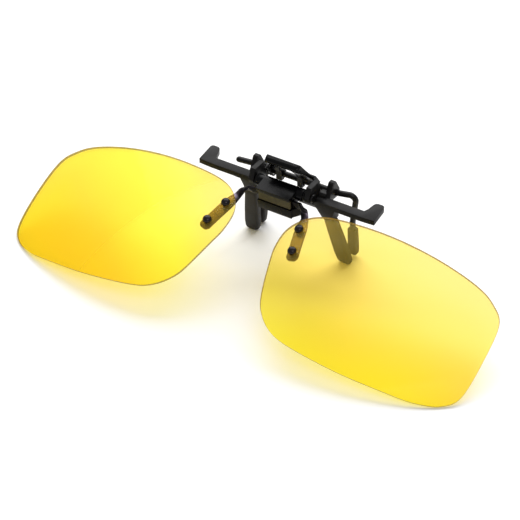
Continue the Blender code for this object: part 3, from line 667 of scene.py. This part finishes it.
def make_materials():
    """Every finish of the part, by the word that the pieces use for it."""
    return {
        "plastic": surface("black_plastic", (0.003, 0.0028, 0.0028), (0.006, 0.0054, 0.0052),
                           (0.32, 0.44), 0.18, 0.2, specular=0.13),
        "lever": surface("black_plastic_polished", (0.001, 0.001, 0.0012), (0.002, 0.002, 0.0024),
                         (0.2, 0.3), 0.22, 0.1, specular=0.1),
        "rubber": surface("black_rubber", (0.007, 0.006, 0.005), (0.014, 0.012, 0.010),
                          (0.55, 0.72), 0.14, 0.4, specular=0.3),
        "strap": strap_material(),
        "rivet": surface("black_rivet", (0.008, 0.006, 0.007), (0.02, 0.016, 0.018), (0.14, 0.24),
                         0.3, 0.08, metallic=0.6, specular=0.4),
        "wire": surface("black_wire", (0.003, 0.003, 0.003), (0.007, 0.0067, 0.0065), (0.28, 0.4),
                        0.2, 0.15, metallic=0.1, specular=0.2),
        "steel": surface("blackened_steel", (0.012, 0.012, 0.013), (0.03, 0.029, 0.028),
                         (0.25, 0.4), 0.1, 0.15, metallic=1.0),
        "olive": surface("olive_plate", (0.036, 0.029, 0.010), (0.062, 0.051, 0.022), (0.4, 0.55),
                         0.15, 0.25, specular=0.2),
        "lens": lens_material(),
        "lens_edge": lens_edge_material(),
    }


# ---------------------------------------------------------------- lenses and rivets

def lens_point(side, across, up, forward=0.0):
    """A point of a lens. across is outward from its centre, up lies in the lens plane and
    forward is out of its front face."""
    drop = (across * across + up * up) / (2 * LENS_RADIUS)
    ahead = -math.tan(LENS_WRAP) * across - drop
    normal = Vector((side * (math.tan(LENS_WRAP) + across / LENS_RADIUS), up / LENS_RADIUS, 1.0))
    flat = Vector((side * (LENS_CENTRE_X + across), up, ahead)) + normal.normalized() * forward
    cosine, sine = math.cos(LENS_TILT), math.sin(LENS_TILT)
    return Vector((flat.x, flat.y * cosine - flat.z * sine,
                   flat.y * sine + flat.z * cosine + LENS_PLANE_Z))


def lens_frame(side, across, up):
    """The matrix that stands a turned shape on a lens, its Z out of the front face."""
    here = lens_point(side, across, up)
    normal = (lens_point(side, across, up, 1.0) - here).normalized()
    turn = normal.to_track_quat("Z", "Y").to_matrix().to_4x4()
    return Matrix.Translation(here) @ turn


def rivet_hole(side, rivet):
    """The cutter of a rivet's hole through the lens and the strap."""
    across, up = rivet
    hole = turned([(RIVET_SHANK_RADIUS + CLEARANCE, height) for height in RIVET_HOLE_REACH])
    return place(hole, lens_frame(side, -across, up))


def closed_curve(corners, steps):
    """Evenly spaced points of a smooth closed curve through these corners."""
    count = len(corners)
    dense = []
    for i in range(count):
        a, b, c, d = (np.array(corners[(i + k - 1) % count], float) for k in range(4))
        dense += [curve_point(a, b, c, d, t) for t in np.linspace(0, 1, CURVE_STEPS, endpoint=False)]
    dense = np.array(dense + dense[:1])
    reach = np.concatenate([[0], np.cumsum(np.linalg.norm(np.diff(dense, axis=0), axis=1))])
    even = np.linspace(0, reach[-1], steps, endpoint=False)
    return np.stack([np.interp(even, reach, dense[:, k]) for k in (0, 1)], axis=1)


def make_lens(side, word, finish):
    """Rings from the middle of the front face, round the softened edge, to the rear face."""
    outline = closed_curve(LENS_OUTLINE, LENS_OUTLINE_STEPS)
    levels = list(np.linspace(*LENS_RING_SPAN, LENS_RINGS))
    reach = LENS_OUTLINE[0][0]
    front = [(level, 0.0) for level in levels]
    rear = [(level, -LENS_THICKNESS) for level in reversed(levels)]
    edge = []
    for k in range(LENS_EDGE_STEPS + 1):
        a = math.pi / 2 * k / LENS_EDGE_STEPS
        edge.append((1 - LENS_EDGE_ROUND * (1 - math.sin(a)) / reach,
                     -LENS_EDGE_ROUND * (1 - math.cos(a))))
    edge += [(level, -LENS_THICKNESS - lift) for level, lift in reversed(edge)]
    rings = [[lens_point(side, 0, 0)]]
    rings += [[lens_point(side, u * level, v * level, lift) for u, v in outline]
              for level, lift in front + edge + rear]
    rings.append([lens_point(side, 0, 0, -LENS_THICKNESS)])
    holes = [("DIFFERENCE", rivet_hole(side, rivet)) for _, rivet in RIVETS]
    piece = new_piece(f"lens_{word}_piece", combined(loft(rings), *holes, tidy=False), "flip",
                      finish["lens"], "yellow_lens", f"lens_{word}")
    mark_rim(piece, side, finish["lens_edge"])


def mark_rim(piece, side, edge_finish):
    """Gives the faces that look sideways out of the lens the darker edge finish."""
    piece.data.materials.append(edge_finish)
    middle = STAND @ lens_point(side, 0, 0)
    ahead = (STAND @ lens_point(side, 0, 0, 1.0) - middle).normalized()
    for face in piece.data.polygons:
        if abs(face.normal.dot(ahead)) < RIM_FACING:
            face.material_index = 1


def make_rivets(side, word, finish):
    """The domed rivets through a lens and its strap, and the cap on the end of each."""
    behind = -(LENS_THICKNESS + CLEARANCE + STRAP_THICKNESS)
    seat = CLEARANCE / 2
    rivet = [(radius, behind + height) for radius, height in RIVET_TAIL]
    rivet += [(radius, seat + height) for radius, height in RIVET_HEAD]
    rivet += [(RIVET_HEAD_RADIUS * math.cos(a), seat + RIVET_HEAD_RIM + RIVET_DOME * math.sin(a))
              for a in RIVET_DOME_TURNS]
    rivet.append((0, seat + RIVET_HEAD_RIM + RIVET_DOME))
    cap = [(radius, behind - CLEARANCE + height) for radius, height in RIVET_CAP]
    for label, (across, up) in RIVETS:
        frame = lens_frame(side, -across, up)
        new_piece(f"rivet_{word}_{label}_piece", place(turned(rivet), frame), "flip",
                  finish["rivet"], "black_rivet", f"rivet_{word}_{label}")
        new_piece(f"rivet_cap_{word}_{label}_piece", place(turned(cap), frame), "flip",
                  finish["wire"], "black_wire", f"rivet_cap_{word}_{label}")


# ---------------------------------------------------------------- bridge and flip block

def bridge_stations():
    """Rows of centre, wide vector and thick vector, from the left strap's foot to the right's."""
    depth = -(LENS_THICKNESS + CLEARANCE + STRAP_THICKNESS / 2)
    slope = (UPPER_RIVET[0] - LOWER_RIVET[0]) / (UPPER_RIVET[1] - LOWER_RIVET[1])
    found = []
    for up, width in STRAP_STATIONS:
        across = -LOWER_RIVET[0] - slope * (up - LOWER_RIVET[1])
        here = lens_point(-1, across, up, depth)
        ahead = lens_point(-1, across - slope * 0.5, up + 0.5, depth) - here
        normal = (lens_point(-1, across, up, depth + 1) - here).normalized()
        wide = ahead.normalized().cross(normal).normalized()
        found.append((here, wide * width, -normal * STRAP_THICKNESS / 2))
    strap_wide = wide
    for across, depth, height, turn, width, thick in BAND_STATIONS:
        here = Vector((-across, depth, height))
        ahead = (here - found[-1][0]).normalized()
        wide = strap_wide.lerp(CROSSING, turn)
        wide = (wide - ahead * wide.dot(ahead)).normalized()
        found.append((here, wide * width, ahead.cross(wide) * thick))
    mirror = Vector((-1, 1, 1))
    return found + [(c * mirror, w * mirror, n * mirror) for c, w, n in reversed(found[:-1])]


def make_bridge(finish):
    """One metal strip with rounded edges: straps, twists and the crossing."""
    wide_corner, thick_corner = BRIDGE_CORNER
    section = [(sx * (1 - wide_corner) + wide_corner * cosine,
                sy * (1 - thick_corner) + thick_corner * sine)
               for sx, sy, cosine, sine in corner_turns(3)]
    rows = [[*c, *w, *n] for c, w, n in bridge_stations()]
    rings = []
    for row in smooth_through(rows, 5):
        centre, wide, thick = Vector(row[0:3]), Vector(row[3:6]), Vector(row[6:9])
        rings.append([centre + wide * a + thick * b for a, b in section])
    holes = [("DIFFERENCE", rivet_hole(side, rivet)) for side, _ in SIDES for _, rivet in RIVETS]
    new_piece("bridge_piece", combined(loft(rings), *holes, tidy=False), "flip", finish["strap"],
              "gunmetal_strap", "bridge")


def barrel(radius, start, end, pivot):
    """A round bar between two places on an axis."""
    return place(turned([(radius, 0), (radius, end - start)]), along_x(start, pivot))


def make_flip_block(finish):
    """The block that holds the bridge and turns on the hinge, and the plate that closes it."""
    wings = [loft([[(side * x, y, z) for x, y in WING_PLAN] for z in WING_LEVELS])
             for side, _ in SIDES]
    steps = [("UNION", wing) for wing in wings]
    steps += [("UNION", barrel(BLOCK_BARREL_RADIUS, -BLOCK_BARREL_HALF, BLOCK_BARREL_HALF, FLIP_AXIS)),
              ("DIFFERENCE", bore(FLIP_PIN_RADIUS + CLEARANCE, FLIP_AXIS))]
    block = prism_x(BLOCK_PROFILE, -BLOCK_HALF, BLOCK_HALF)
    new_piece("flip_block_piece", softened(combined(block, *steps), BLOCK_ROUND), "flip",
              finish["lever"], "black_plastic", "flip_block")
    plate = prism_x(RETAINER_PROFILE, -RETAINER_HALF, RETAINER_HALF)
    new_piece("bridge_retainer_piece", softened(plate, RETAINER_ROUND), "flip",
              finish["olive"], "olive_plate", "bridge_retainer")


def make_flip_pin(finish):
    """The headed hinge pin, and the washer at each end of the block."""
    profile = FLIP_PIN_TIP + [
        (radius, start + along)
        for start, part in ((FLIP_PIN_HALF + FLIP_PIN_NECK, FLIP_PIN_SHOULDER),
                            (2 * FLIP_PIN_HALF, FLIP_PIN_END))
        for radius, along in part]
    new_piece("flip_pin_piece", place(turned(profile), along_x(-FLIP_PIN_HALF, FLIP_AXIS)), "clip",
              finish["steel"], "steel", "flip_pin")
    for side, word in SIDES:
        turn = Matrix.Translation((0, *FLIP_AXIS)) @ Matrix.Rotation(side * math.pi / 2, 4, "Y")
        new_piece(f"hinge_washer_{word}_piece", place(turned_ring(WASHER_PROFILE), turn), "clip",
                  finish["steel"], "steel", f"hinge_washer_{word}")


# ---------------------------------------------------------------- front jaw

def bar_slab(side, plan, drops):
    """A plan extruded between two depths below the top of the rest bar."""
    slope = math.tan(BAR_TILT)
    return loft([[(side * x, y, BAR_TOP + (y - BAR_FRONT) * slope - drop) for x, y in plan]
                 for drop in drops])


def leg_root(side):
    """The widening of a leg up to the bar, and the narrow core inside its boot."""
    rings = [rounded_box((side * (inner + outer) / 2, (front + rear) / 2, z), (outer - inner) / 2,
                         (rear - front) / 2, LEG_CORNER, LEG_CORNER_STEPS)
             for z, inner, outer, front, rear in LEG_ROOT]
    for z in CORE_LEVELS:
        x, y = boot_centre(z)
        rings.append(rounded_box((side * x, y, z), *CORE_HALF, CORE_CORNER, LEG_CORNER_STEPS))
    return loft(rings)


def make_clip_frame(finish):
    """The front jaw in one moulding: rest bar with hooks, ears, lugs, legs and the web between."""
    steps = []
    for side, _ in SIDES:
        steps += [("UNION", leg_root(side)),
                  ("UNION", bar_slab(side, BAR_PLAN, (0, BAR_THICKNESS))),
                  ("UNION", bar_slab(side, BAR_SHOULDER_PLAN, (BAR_THICKNESS / 2, BAR_SHOULDER_DROP))),
                  ("UNION", prism_x(EAR_PROFILE, side * EAR_INNER, side * EAR_OUTER)),
                  ("UNION", prism_x(LUG_PROFILE, side * LUG_INNER, side * LUG_OUTER)),
                  ("UNION", prism_x(BRACE_PROFILE, side * BRACE_INNER, side * BRACE_OUTER))]
    steps += [("DIFFERENCE", bore(FLIP_PIN_RADIUS + FRAME_PIN_GAP, FLIP_AXIS)),
              ("DIFFERENCE", bore(WIRE_RADIUS + CLEARANCE, CLAMP_AXIS))]
    web = prism_x(WEB_PROFILE, -WEB_HALF, WEB_HALF)
    shape = softened(combined(web, *steps), FRAME_ROUND)
    new_piece("clip_frame_piece", shape, "clip", finish["plastic"], "black_plastic", "clip_frame")


# ---------------------------------------------------------------- boots, arms, lever and spring

def boot_centre(height):
    """The middle of a front leg at this height: it leans outward and to the rear going down."""
    down = (BOOT_TOP - height) / BOOT_TOP
    return BOOT_HEAD[0] + BOOT_LEAN[0] * down, BOOT_HEAD[1] + BOOT_LEAN[1] * down


def make_front_boots(finish):
    """Each boot's outside from the tip up, then the socket that its leg's core sits in."""
    half = [h + SOCKET_GAP for h in CORE_HALF]
    levels = FRONT_BOOT_OUTSIDE + [(z, *half, CORE_CORNER) for z in FRONT_BOOT_SOCKET]
    for side, word in SIDES:
        rings = []
        for z, across, deep, corner in levels:
            x, y = boot_centre(z)
            rings.append(rounded_box((side * x, y, z), across, deep, corner))
        new_piece(f"front_boot_{word}_piece", loft(rings), "clip", finish["rubber"], "black_rubber",
                  f"front_boot_{word}")


def make_rear_arms(finish):
    """The right wire arm, whose straight run is the shaft, and the left one with its hub on it."""
    new_piece("rear_arm_right_piece", swept(bent(RIGHT_ARM, ARM_BEND_RADIUS), WIRE_RADIUS), "clamp",
              finish["wire"], "black_wire", "rear_arm_right")
    steps = [("UNION", place(turned(HUB_PROFILE), along_x(HUB_START, CLAMP_AXIS))),
             ("DIFFERENCE", bore(WIRE_RADIUS + CLEARANCE / 2, CLAMP_AXIS))]
    new_piece("rear_arm_left_piece", combined(swept(LEFT_ARM, WIRE_RADIUS), *steps, tidy=False),
              "clamp", finish["wire"], "black_wire", "rear_arm_left")


def make_rear_boots(finish):
    """Each boot along the foot of its wire arm, then its socket."""
    half = WIRE_RADIUS + SOCKET_GAP
    stations = REAR_BOOT_OUTSIDE + [(rise, half, half) for rise in REAR_BOOT_SOCKET]
    for word, arm in (("left", LEFT_ARM), ("right", RIGHT_ARM)):
        foot, knee = Vector(arm[-1]), Vector(arm[-2])
        lean = (knee - foot) / (knee - foot).z
        rings = [rounded_box(foot + lean * rise, across, deep, min(across, deep) * REAR_BOOT_CORNER)
                 for rise, across, deep in stations]
        new_piece(f"rear_boot_{word}_piece", loft(rings), "clamp", finish["rubber"], "black_rubber",
                  f"rear_boot_{word}")


def make_thumb_lever(finish):
    """The curved plate that the thumb presses, on an arm and two posts down to the shaft."""
    rows = smooth_through(LEVER_STATIONS, 4)
    rings = []
    for k, (y, z, half, thick) in enumerate(rows):
        before, after = rows[max(k - 1, 0)], rows[min(k + 1, len(rows) - 1)]
        run = Vector((0, after[0] - before[0], after[1] - before[1])).normalized()
        turn = Vector((1, 0, 0)).cross(run)
        corner = min(LEVER_EDGE_ROUND, thick * 0.8)
        rings.append([Vector((dx, y, z)) + turn * dy
                      for dx, dy, _ in rounded_box((0, 0, 0), half, thick, corner, 4)])
    steps = [("DIFFERENCE", prism_x(LEVER_WINDOW_PROFILE, *LEVER_WINDOW)),
             ("UNION", prism_x(LEVER_ARM_PROFILE, *LEVER_ARM)),
             ("UNION", prism_x(LEVER_SKIRT_PROFILE, *LEVER_SKIRT))]
    steps += [("UNION", prism_x(LEVER_POST_PROFILE, *span)) for span in LEVER_POSTS]
    steps += [("UNION", barrel(LEVER_BARREL_RADIUS, *span, CLAMP_AXIS)) for span in LEVER_BARRELS]
    steps.append(("DIFFERENCE", bore(WIRE_RADIUS + CLEARANCE / 2, CLAMP_AXIS)))
    new_piece("thumb_lever_piece", combined(loft(rings), *steps, tidy=False), "clamp",
              finish["lever"], "black_plastic", "thumb_lever")


def make_spring(finish):
    """A coil round the clamp's shaft, built still and on no body; the real one winds up as the lever
    turns. One leg bears on the clip and one under the lever."""
    first, last = SPRING_LEG_ANGLES
    sweep = 2 * math.pi * (SPRING_TURNS + 1) + first - last
    steps = SPRING_TURN_STEPS * SPRING_TURNS
    start, end = SPRING_SPAN
    coil = []
    for k in range(steps + 1):
        angle = first - sweep * k / steps
        coil.append(Vector((start + (end - start) * k / steps,
                            CLAMP_AXIS[0] + SPRING_RADIUS * math.cos(angle),
                            CLAMP_AXIS[1] + SPRING_RADIUS * math.sin(angle))))
    legs = []
    for here, before, length in zip((coil[0], coil[-1]), (coil[1], coil[-2]), SPRING_LEGS):
        ahead = here - before
        ahead.x = 0
        legs.append(here + ahead.normalized() * length)
    shape = swept([legs[0]] + coil + [legs[1]], SPRING_WIRE_RADIUS, sides=14, rounded=False)
    piece = new_piece("clamp_spring_piece", shape, None, finish["steel"], "steel", "clamp_spring")
    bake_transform(piece)


# ---------------------------------------------------------------- stage

def make_camera():
    """The camera, aimed at its target and rolled a little."""
    data = bpy.data.cameras.new("camera")
    data.lens = CAMERA_LENS
    data.sensor_width = 36.0
    data.clip_start = 0.01
    data.clip_end = 20.0
    camera = bpy.data.objects.new("camera", data)
    bpy.context.scene.collection.objects.link(camera)
    flat = math.cos(CAMERA_ELEVATION)
    back = Vector((math.sin(CAMERA_AZIMUTH) * flat, -math.cos(CAMERA_AZIMUTH) * flat,
                   math.sin(CAMERA_ELEVATION)))
    camera.location = CAMERA_TARGET + back * CAMERA_DISTANCE
    camera.rotation_mode = "QUATERNION"
    camera.rotation_quaternion = ((-back).to_track_quat("-Z", "Y")
                                  @ Quaternion((0, 0, 1), CAMERA_ROLL))
    bpy.context.scene.camera = camera


def make_light(name, where, size, power):
    """A rectangular softbox that faces the part."""
    data = bpy.data.lights.new(name, "AREA")
    data.shape = "RECTANGLE"
    data.size, data.size_y = size
    data.energy = power
    light = bpy.data.objects.new(name, data)
    bpy.context.scene.collection.objects.link(light)
    light.location = where
    light.rotation_mode = "QUATERNION"
    light.rotation_quaternion = (LIGHT_AIM - where).to_track_quat("-Z", "Y")


def make_stage():
    """A white paper floor, an even white surround and two softboxes."""
    half = FLOOR_SIZE / 2
    corners = ((-half, -half), (half, -half), (half, half), (-half, half))
    slab = loft([[(x, y, z) for x, y in corners] for z in (-FLOOR_THICKNESS, 0.0)])
    floor = to_object("floor", slab)
    floor.location = (0, 0, -FLOOR_DROP)
    made, nodes, links, shader = start_material("floor_paper")
    where = object_place(nodes, links)
    paper = ramp(nodes, links, noise(nodes, links, where, 30.0),
                 [(0.3, (0.86, 0.86, 0.86)), (0.7, (0.88, 0.88, 0.88))])
    links.new(paper, shader.inputs["Base Color"])
    shader.inputs["Roughness"].default_value = 0.9
    shader.inputs["Specular IOR Level"].default_value = 0.2
    floor.data.materials.append(made)
    world = bpy.data.worlds.new("studio")
    world.use_nodes = True
    world.node_tree.nodes["Background"].inputs["Color"].default_value = (1, 1, 1, 1)
    world.node_tree.nodes["Background"].inputs["Strength"].default_value = WORLD_STRENGTH
    bpy.context.scene.world = world
    make_light("rear_softbox", REAR_LIGHT_PLACE, REAR_LIGHT_SIZE, REAR_LIGHT_POWER)
    make_light("front_softbox", FRONT_LIGHT_PLACE, FRONT_LIGHT_SIZE, FRONT_LIGHT_POWER)
    bpy.context.scene.view_settings.view_transform = "Standard"


def main():
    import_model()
    finish = make_materials()
    for side, word in SIDES:
        make_lens(side, word, finish)
        make_rivets(side, word, finish)
    make_bridge(finish)
    make_flip_block(finish)
    make_flip_pin(finish)
    make_clip_frame(finish)
    make_front_boots(finish)
    make_rear_arms(finish)
    make_rear_boots(finish)
    make_thumb_lever(finish)
    make_spring(finish)
    make_camera()
    make_stage()


main()
